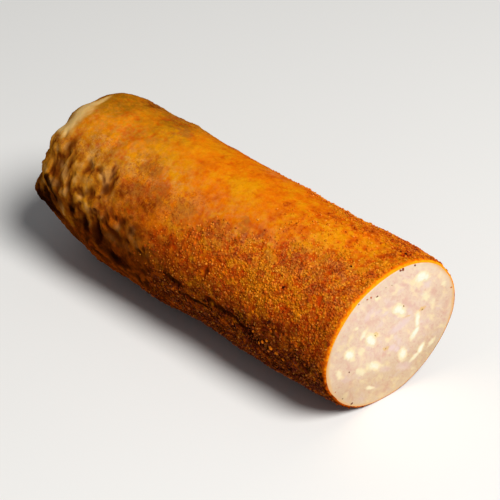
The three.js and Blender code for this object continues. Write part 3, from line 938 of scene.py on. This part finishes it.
def meat_material():
    material, tree, meat_skin = new_material("cut_meat")
    where = add(tree, "TexCoord").outputs["Object"]
    swirl = add(tree, "TexNoise", {"Vector": where, "Scale": 1 / (8 * MM), "Detail": 1.0})
    swirl = {0: swirl.outputs["Color"], 1: (3 * MM,) * 3, 2: where}
    swirled = add(tree, "VectorMath", swirl, operation="MULTIPLY_ADD")
    turned = {"Vector": swirled.outputs["Vector"], "Rotation": (STREAK_TURN, 0, 0), "Scale": (1, 1.8, 1)}
    drawn = add(tree, "Mapping", turned, vector_type="TEXTURE")
    fibres = clouds(tree, drawn.outputs["Vector"], 1.2 * MM, detail=4, roughness=0.65, distortion=0.5)
    colour = ramp(tree, fibres, [(0.25, MEAT_ROSE), (0.5, MEAT_PINK), (0.75, MEAT_BEIGE)])
    blots = add(tree, "TexNoise", {"Vector": drawn.outputs["Vector"], "Scale": 1 / (4 * MM), "Detail": 2.0})
    parts = add(tree, "SeparateColor", {"Color": blots.outputs["Color"]})
    colour = mix(tree, fade(tree, parts.outputs["Red"], 0.52, 0.74, 0.0, 0.6), colour, LEAN_LILAC)
    colour = mix(tree, fade(tree, parts.outputs["Green"], 0.5, 0.72, 0.0, 0.8), colour, MEAT_CREAM)
    colour = mix(tree, fade(tree, parts.outputs["Blue"], 0.5, 0.72, 0.0, 0.7), colour, MEAT_ROSE)
    colour = mix(tree, fade(tree, noted(tree, "out"), 28.0, 31.4, 0.0, 0.6), colour, MEAT_BEIGE)
    lower = noted(tree, "lower")
    colour = mix(tree, fade(tree, lower, 0.1, 1.0), colour, MEAT_YELLOWING, "MULTIPLY")
    colour = mix(tree, noted(tree, "darker_sides"), colour, MEAT_SIDE_TINT, "MULTIPLY")
    rim_edge = raise_by(tree, noted(tree, "out"), parts.outputs["Green"], 1.4)
    tan_rim = times(tree, fade(tree, rim_edge, 31.2, 32.8, 0.0, 0.85), noted(tree, "tan_rim"))
    colour = mix(tree, tan_rim, colour, RIM_TAN)
    fray = calculate(tree, "SUBTRACT", fibres, 0.5)
    stained = raise_by(tree, noted(tree, "stain"), fray, 1.6)
    colour = mix(tree, fade(tree, stained, 0.3, 1.0, 0.0, 0.8), colour, STAIN_OCHRE)
    colour = mix(tree, times(tree, noted(tree, "lean"), 0.8), colour, LEAN_LILAC)
    halo = raise_by(tree, noted(tree, "halo"), parts.outputs["Green"], 0.8)
    colour = mix(tree, fade(tree, halo, 0.45, 1.1, 0.0, 0.85), colour, HALO_CREAM)
    frayed = raise_by(tree, noted(tree, "chunk"), fray, 0.6)
    colour = mix(tree, fade(tree, frayed, 0.15, 0.75), colour, CHUNK_CREAM)
    colour = mix(tree, fade(tree, frayed, 0.5, 1.0), colour, CHUNK_WHITE)
    tree.links.new(colour, meat_skin.inputs["Base Color"])
    grain = clouds(tree, where, 0.5 * MM, detail=2)
    bump = add(tree, "Bump", {"Height": grain, "Strength": 0.35, "Distance": 0.15 * MM})
    tree.links.new(bump.outputs["Normal"], meat_skin.inputs["Normal"])
    gloss = fade(tree, clouds(tree, where, 2 * MM), 0.35, 0.7, 0.34, 0.55)
    tree.links.new(gloss, meat_skin.inputs["Roughness"])
    meat_skin.inputs["Specular IOR Level"].default_value = 0.3
    meat_skin.inputs["Subsurface Weight"].default_value = 0.25
    meat_skin.inputs["Subsurface Radius"].default_value = (1.0, 0.6, 0.4)
    meat_skin.inputs["Subsurface Scale"].default_value = 1.5 * MM
    return material


meat.data.materials.append(meat_material())
print("meat material nodes:", len(meat.data.materials[0].node_tree.nodes))

# %% [markdown]
# ## Ground spice
# The rub's larger grains stand out from the crust: paprika, curry, pepper and pale crumbs. One
# shard is modelled from an icosphere, and then copied thousands of times with its own
# size, turn and place by a seeded draw, each kind joined into one mesh. Copies in an array of
# numbers are much faster than copies of objects.

# %% Model one shard
bpy.ops.object.select_all(action="DESELECT")
bpy.ops.mesh.primitive_ico_sphere_add(subdivisions=1, radius=0.5)
shard = bpy.context.active_object
bpy.ops.object.mode_set(mode="EDIT")
bpy.ops.mesh.select_all(action="SELECT")
bpy.ops.transform.vertex_random(offset=0.09, seed=5)
bpy.ops.object.mode_set(mode="OBJECT")
shard_points = points_of(shard)
shard_faces = np.array([face.vertices[:] for face in shard.data.polygons])
bpy.data.objects.remove(shard)
print("shard faces:", len(shard_faces))

# %% [markdown]
# Grains are scattered evenly by area: a larger face of the crust has a larger chance of being
# drawn. They lie thickest where the rub is grittiest. None lies near the floor, on the casing's
# edge or in a furrow.

# %% Scatter the grains
EDGE_CLEARANCE = 0.8
FLOOR_CLEARANCE = 0.6 * MM

crust.data.calc_loop_triangles()
corners = np.empty(len(crust.data.loop_triangles) * 3, int)
crust.data.loop_triangles.foreach_get("vertices", corners)
corners = corners.reshape(-1, 3)
corner_points = points_of(crust)[corners]
crossed = np.cross(corner_points[:, 1] - corner_points[:, 0], corner_points[:, 2] - corner_points[:, 0])
areas = np.linalg.norm(crossed, axis=1) / 2
grit_there = crust_regions["grit"][corners].mean(1)
low_there = crust_regions["low"][corners].mean(1)
edge_there = crust_regions["edge"][corners].min(1)
keep = (edge_there > EDGE_CLEARANCE) & (corner_points[:, :, 2].min(1) > FLOOR_CLEARANCE)
keep &= (outside[corners].min(1) > 0.5) & (gap_share[corners].max(1) < 0.3)


BARE_GRIT = 0.12  # no grain lies where there is less grit than this
GRAIN_STRETCH = (0.75, 1.35)
MOSTLY_SMALL = 1.6


def scatter(name, count, sizes, seed, on_top=1.0, flatness=0.7, lift=0.2):
    """One mesh of many shards on the crust, each with a random tint.
    On_top is how thickly they lie on the top, against on the flanks."""
    random = np.random.default_rng(seed)
    weight = areas * keep * np.maximum(grit_there - BARE_GRIT, 0) * (on_top + (1 - on_top) * low_there)
    chosen = random.choice(len(areas), count, p=weight / weight.sum())
    shares = random.dirichlet((1, 1, 1), count)
    centres = (corner_points[chosen] * shares[:, :, None]).sum(1)
    outward = crossed[chosen] / np.linalg.norm(crossed[chosen], axis=1, keepdims=True)
    size = sizes[0] * (sizes[1] / sizes[0]) ** (random.random(count) ** MOSTLY_SMALL)
    aside = np.cross(outward, random.normal(size=(count, 3)))
    aside /= np.linalg.norm(aside, axis=1, keepdims=True)
    third = np.cross(outward, aside)
    stretch = random.uniform(*GRAIN_STRETCH, (count, 2))
    axes = np.stack([aside * stretch[:, :1], third * stretch[:, 1:], outward * flatness], 1)
    spin = random.integers(0, 3, count)
    base = np.stack([np.roll(shard_points, turn, axis=1) for turn in range(3)])[spin]
    points = centres[:, None] + size[:, None, None] * np.einsum("nvi,nij->nvj", base, axes)
    points += (outward * size[:, None] * lift)[:, None]
    faces = (shard_faces[None] + np.arange(count)[:, None, None] * len(shard_points)).reshape(-1, 3)
    grains = new_piece(name, points.reshape(-1, 3).tolist(), faces=faces.tolist())
    note(grains, "tint", np.repeat(random.random(count), len(shard_points)))
    for region, share in regions(centres).items():
        note(grains, region, np.repeat(share, len(shard_points)))
    print(name, "grains:", count, "faces:", len(faces))
    return grains


paprika = scatter("paprika_grains", 9900, (0.45 * MM, 1.15 * MM), 11)
curry = scatter("curry_grains", 7000, (0.4 * MM, 1.0 * MM), 12)
pepper = scatter("pepper_grains", 2400, (0.4 * MM, 0.9 * MM), 13, on_top=0.1)
crumbs = scatter("pale_crumbs", 260, (0.4 * MM, 0.75 * MM), 14, lift=0.3)
clots = scatter("spice_clots", 700, (1.0 * MM, 2.0 * MM), 15, on_top=0.15, flatness=0.6, lift=0.05)
only(clots)
bpy.ops.object.shade_smooth()

# %% [markdown]
# ## The grains' materials
# A grain is half of the rub that it sticks in and half of its own spice, so each kind mixes the
# rub's colour with its own, which runs between two or three shades by the grain's tint.

# %% Mix the grains' materials
def grain_material(name, stops, own):
    material, tree, surface = new_material(name)
    where = add(tree, "TexCoord").outputs["Object"]
    rub, mottle = rub_colour(tree, where)
    spice = ramp(tree, noted(tree, "tint"), stops)
    # Low on the flanks the grains are darkened as painted shade, the palest tints least.
    shade_share = fade(tree, noted(tree, "low"), 0.2, 0.85, 0.0, 0.95)
    pale_tint_spared = fade(tree, noted(tree, "tint"), 0.55, 0.95, 1.0, 0.15)
    spice = mix(tree, times(tree, shade_share, pale_tint_spared), spice, SHADE_AND_BLOTCH_BROWN)
    own_share = fade(tree, noted(tree, "dull"), 0.0, 0.6, own, own * 0.35)
    colour = mix(tree, own_share, rub, spice)
    tree.links.new(colour, surface.inputs["Base Color"])
    gloss = fade(tree, mottle, 0.3, 0.7, 0.4, 0.65)
    tree.links.new(gloss, surface.inputs["Roughness"])
    surface.inputs["Specular IOR Level"].default_value = 0.03
    return material


GRAIN_SHADES = {
    paprika: (0.5, [(0.0, screen(144, 44, 5)), (0.5, screen(188, 80, 10)), (1.0, screen(216, 108, 18))]),
    curry: (0.5, [(0.0, screen(204, 106, 16)), (0.6, screen(232, 136, 34)), (1.0, screen(250, 164, 66))]),
    pepper: (0.7, [(0.0, screen(70, 14, 4)), (0.7, screen(116, 36, 6)), (1.0, screen(140, 56, 12))]),
    clots: (0.5, [(0.0, screen(110, 34, 4)), (0.6, screen(190, 76, 4)), (1.0, screen(220, 112, 12))]),
    crumbs: (0.5, [(0.0, screen(236, 146, 40)), (1.0, screen(248, 176, 90))]),
}
for grains, (own, stops) in GRAIN_SHADES.items():
    grains.data.materials.append(grain_material(grains.name, stops, own))
print("grain kinds:", len(GRAIN_SHADES))

# %% [markdown]
# ## Loose crumbs
# A few larger crumbs stand out singly: burnt ones, red flakes of pepper along the rim and orange
# clots low on the front. Each is one shard, laid where a ray from outside meets the crust. Two
# helpers serve these crumbs and the specks in the meat alike: one joins single shards, and one
# gives them a colour by their tint with darker blotches.

# %% Define the helpers for single shards
def join_shards(name, places, tints):
    """One mesh of single shards. A place is a centre, and three axes as long as the shard is."""
    points = [centre + shard_points @ axes for centre, axes in places]
    faces = [shard_faces + index * len(shard_points) for index in range(len(places))]
    piece = new_piece(name, np.concatenate(points).tolist(), faces=np.concatenate(faces).tolist())
    note(piece, "tint", np.repeat(tints, len(shard_points)))
    return piece


def shard_material(name, stops, blotches, blotch_colour, specular):
    """Blotches are their size, the noise between which they fade in, and their strength."""
    size, low, high, strength = blotches
    material, tree, surface = new_material(name)
    where = add(tree, "TexCoord").outputs["Object"]
    colour = ramp(tree, noted(tree, "tint"), stops)
    share = fade(tree, clouds(tree, where, size), low, high, 0.0, strength)
    colour = mix(tree, share, colour, blotch_colour)
    tree.links.new(colour, surface.inputs["Base Color"])
    surface.inputs["Roughness"].default_value = 0.5
    surface.inputs["Specular IOR Level"].default_value = specular
    return material


# %% Lay the loose crumbs
LOOSE_CRUMBS = [
    (31.7, 142, 1.2, "blackened"), (33, 168, 1.5, "blackened"), (13, 107, 1.0, "blackened"), (1.8, 70, 0.9, "red"),
    (3.2, 72, 1.2, "blackened"), (2.6, 75, 0.9, "red"), (4.4, 68, 1.0, "red"), (5.2, 73, 0.8, "blackened"),
    (3.6, 76, 0.7, "red"), (7.5, 64, 0.8, "blackened"), (31.7, 188, 2.0, "orange"), (33, 192, 1.6, "orange"),
    (29, 190, 1.6, "orange"), (36, 187, 1.7, "orange"), (26, 193, 1.4, "orange"),
    (41, 183, 1.3, "orange"), (38, 190, 1.3, "orange"), (34, 184, 1.4, "orange"), (24, 201, 1.3, "blackened"),
    (58, 112, 0.9, "pale"), (47, 21, 1.2, "blackened"), (15, 350, 1.3, "orange"),
]
CRUMB_TINTS = {"blackened": 0.0, "red": 0.35, "orange": 0.7, "pale": 1.0}
CRUMB_STRETCH = (1.25, 0.85, 0.7)
CRUMB_LIFT = 0.15
WELL_OUTSIDE = 60


def place_outside(along, turned, radius):
    """The point at a place on the body, at that many millimetres out from the axis."""
    angle = math.radians(turned)
    aside = radius * MM * math.cos(angle)
    up = radius * MM * math.sin(angle) + cut_centre.z + AXIS_RISE * along * MM
    return Vector((cut_centre.x - along * MM, aside, up))


def crumb_place(along, turned, size, turn_in_place):
    start = place_outside(along, turned, WELL_OUTSIDE)
    inwards = place_outside(along, turned, 0) - start
    _, centre, normal, _ = crust.ray_cast(start, inwards.normalized())
    first = normal.orthogonal().normalized()
    second = normal.cross(first)
    long_way = first * math.cos(turn_in_place) + second * math.sin(turn_in_place)
    sides = (long_way, normal.cross(long_way), normal)
    axes = np.array([axis * stretch for axis, stretch in zip(sides, CRUMB_STRETCH)]) * size * MM
    return np.array(centre + normal * CRUMB_LIFT * size * MM), axes


bpy.context.view_layer.update()
random = np.random.default_rng(31)
crumb_places = [crumb_place(*crumb[:3], random.uniform(0, math.pi)) for crumb in LOOSE_CRUMBS]
loose = join_shards("loose_crumbs", crumb_places, [CRUMB_TINTS[crumb[3]] for crumb in LOOSE_CRUMBS])
crumb_stops = [(0.0, screen(46, 14, 8)), (0.35, screen(150, 22, 6)), (0.7, screen(232, 122, 14))]
crumb_stops.append((1.0, screen(246, 166, 70)))
crumb_blotches = (0.5 * MM, 0.35, 0.65, 0.4)
loose.data.materials.append(shard_material("loose_crumbs", crumb_stops, crumb_blotches, SHADE_AND_BLOTCH_BROWN, 0.03))
print("loose crumbs:", len(LOOSE_CRUMBS))

# %% [markdown]
# ## Specks in the cut face
# A few grains were carried into the meat: olive herb, orange paprika and dark pepper. They are
# single shards pressed into the face where the photo shows them.

# %% Press the specks into the meat
SPECKS = [
    (1.2, 31.3, 1.3, "brown"), (2.5, 31.2, 1.5, "brown"), (8.6, 30.2, 1.1, "brown"),
    (-9.6, 24.2, 0.9, "dark"), (-12.8, 25.3, 1.1, "red"), (-14.6, 25.2, 0.8, "red"),
    (-18.7, 25.0, 0.7, "dark"), (-5.6, 26.5, 0.6, "olive"), (-2.5, 26.0, 0.5, "olive"),
    (4.8, 12.3, 0.9, "olive"), (15.2, 5.3, 0.8, "olive"), (-20.8, -7.4, 0.8, "dark"),
    (-23.2, -19.7, 0.7, "dark"), (-27.2, -14.0, 0.7, "red"), (7.1, 17.6, 0.5, "red"),
    (-8.9, 4.7, 0.9, "olive"), (-2.6, -5.2, 0.6, "olive"), (-18.1, -25.0, 1.2, "dark"),
    (29.9, 9.0, 0.9, "red"),
]
SPECK_TINTS = {"dark": 0.05, "brown": 0.25, "olive": 0.5, "red": 0.95}
SPECK_STRETCH = (1.3, 0.8, 0.35)


def speck_place(side, rise, size, turned):
    centre = np.array(cut_centre + cut_across * side * MM + cut_up * rise * MM)
    normal = np.array(cut_normal)
    first = np.array(cut_across) * math.cos(turned) + np.array(cut_up) * math.sin(turned)
    sides = (first, np.cross(normal, first), normal)
    axes = np.stack([axis * stretch for axis, stretch in zip(sides, SPECK_STRETCH)]) * size * MM
    return centre, axes


random = np.random.default_rng(21)
speck_places = [speck_place(*speck[:3], random.uniform(0, math.pi)) for speck in SPECKS]
specks = join_shards("meat_specks", speck_places, [SPECK_TINTS[speck[3]] for speck in SPECKS])
speck_stops = [(0.0, screen(104, 34, 10)), (0.25, screen(146, 60, 18)), (0.5, screen(176, 138, 56))]
speck_stops.append((1.0, screen(220, 96, 20)))
speck_blotches = (0.4 * MM, 0.3, 0.7, 0.5)
specks.data.materials.append(shard_material("meat_specks", speck_stops, speck_blotches, DEEP_BROWN, 0.1))
print("specks:", len(SPECKS))

# %% [markdown]
# ## Floor and light
# The sausage lies on a plain pale floor. In the photo the top and the cut face are bright, and
# the front falls away to deep brown, as under one large soft lamp high beyond the cut. A dim sky
# keeps the shadows from going black.

# %% Lay the floor and hang the lamp
FLOOR_SIZE = 6.0
FLOOR_WHITE = (0.85, 0.85, 0.84, 1)
LAMP_PLACE = Vector((1.05, -0.06, 1.38))
LAMP_AIM = Vector((0, 0, 0.03))
LAMP_SIZE = 0.8
LAMP_WATTS = 34.0
LAMP_TINT = (1.0, 0.98, 0.95)
SKY_TINT = (0.95, 0.97, 1.0, 1)
SKY_STRENGTH = 0.15

bpy.ops.object.select_all(action="DESELECT")
bpy.ops.mesh.primitive_plane_add(size=FLOOR_SIZE)
floor = bpy.context.active_object
floor.name = "floor"
floor_paint, _, floor_surface = new_material("floor")
floor_surface.inputs["Base Color"].default_value = FLOOR_WHITE
floor_surface.inputs["Roughness"].default_value = 0.8
floor_surface.inputs["Specular IOR Level"].default_value = 0.1
floor.data.materials.append(floor_paint)

lamp_turn = (LAMP_AIM - LAMP_PLACE).to_track_quat("-Z", "Y").to_euler()
bpy.ops.object.light_add(type="AREA", location=LAMP_PLACE, rotation=lamp_turn)
lamp = bpy.context.active_object
lamp.name = "key"
lamp.data.shape = "DISK"
lamp.data.size = LAMP_SIZE
lamp.data.energy = LAMP_WATTS
lamp.data.color = LAMP_TINT
world = bpy.data.worlds.new("studio")
world.use_nodes = True
sky = world.node_tree.nodes["Background"]
sky.inputs["Color"].default_value = SKY_TINT
sky.inputs["Strength"].default_value = SKY_STRENGTH
bpy.context.scene.world = world
bpy.context.scene.view_settings.view_transform = "Standard"
print("lamp:", lamp.name, "watts:", LAMP_WATTS)

# %% [markdown]
# ## Put it together
# Every piece belongs to the one body of the sausage. The solid is hidden, and the crust and the
# meat show in its place.

# %% Attach the pieces and hide the solid
for piece in (crust, meat, specks, paprika, curry, pepper, crumbs, clots, loose):
    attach(piece, "root")
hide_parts("sausage")
